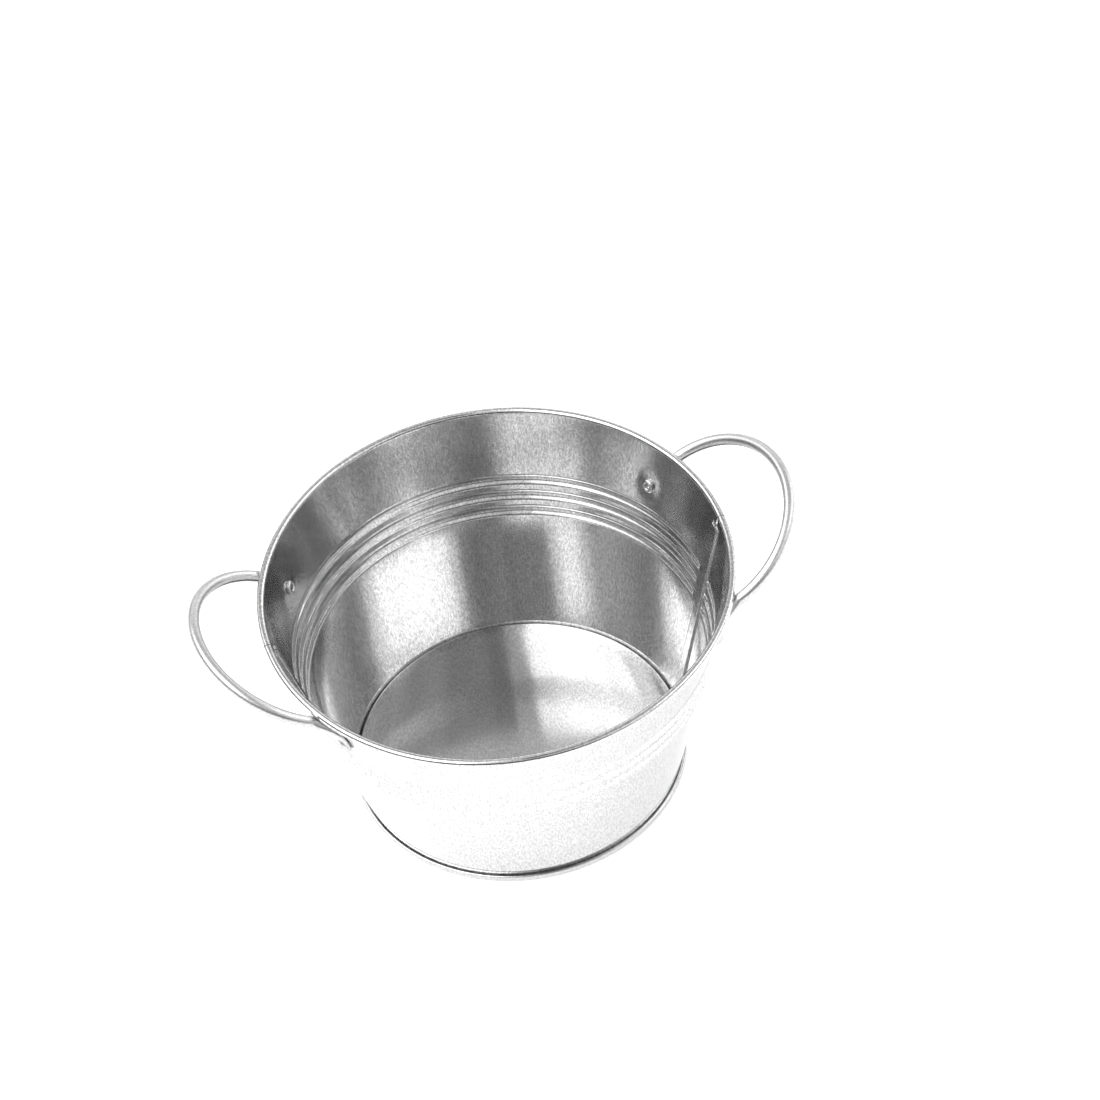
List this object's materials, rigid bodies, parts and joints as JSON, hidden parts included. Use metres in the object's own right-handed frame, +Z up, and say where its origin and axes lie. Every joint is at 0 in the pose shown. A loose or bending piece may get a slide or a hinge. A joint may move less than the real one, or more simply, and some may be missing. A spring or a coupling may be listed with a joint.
{
  "type": "florist bucket",
  "caption": "Low round tinned-steel florist bucket with a wired rim, pressed beads, a folded foot ring and riveted tube handles on both sides.",
  "frame": {"origin": "centre of the bucket's foot, on the plane it stands on", "axes": "+Z up along the bucket's axis; +X along the line through both handles, towards the right handle; -Y towards the front shell"},
  "size_m": [0.2062, 0.16, 0.102],
  "materials": {
    "tinned_sheet": "satin tin plate with a fine vertical grain",
    "base_sheet": "satin tin plate with a fine straight grain",
    "steel_wire": "drawn wire",
    "handle_tube": "satin plated tube with fine draw lines",
    "rivet_steel": "bright plated rivet"
  },
  "bodies": {
    "root": {"front_shell": "tinned_sheet", "back_shell": "tinned_sheet", "base_pan": "base_sheet", "rim_wire": "steel_wire", "left_handle": "handle_tube", "right_handle": "handle_tube", "rivet_left_front": "rivet_steel", "rivet_left_back": "rivet_steel", "rivet_right_front": "rivet_steel", "rivet_right_back": "rivet_steel"}
  },
  "joints": []
}
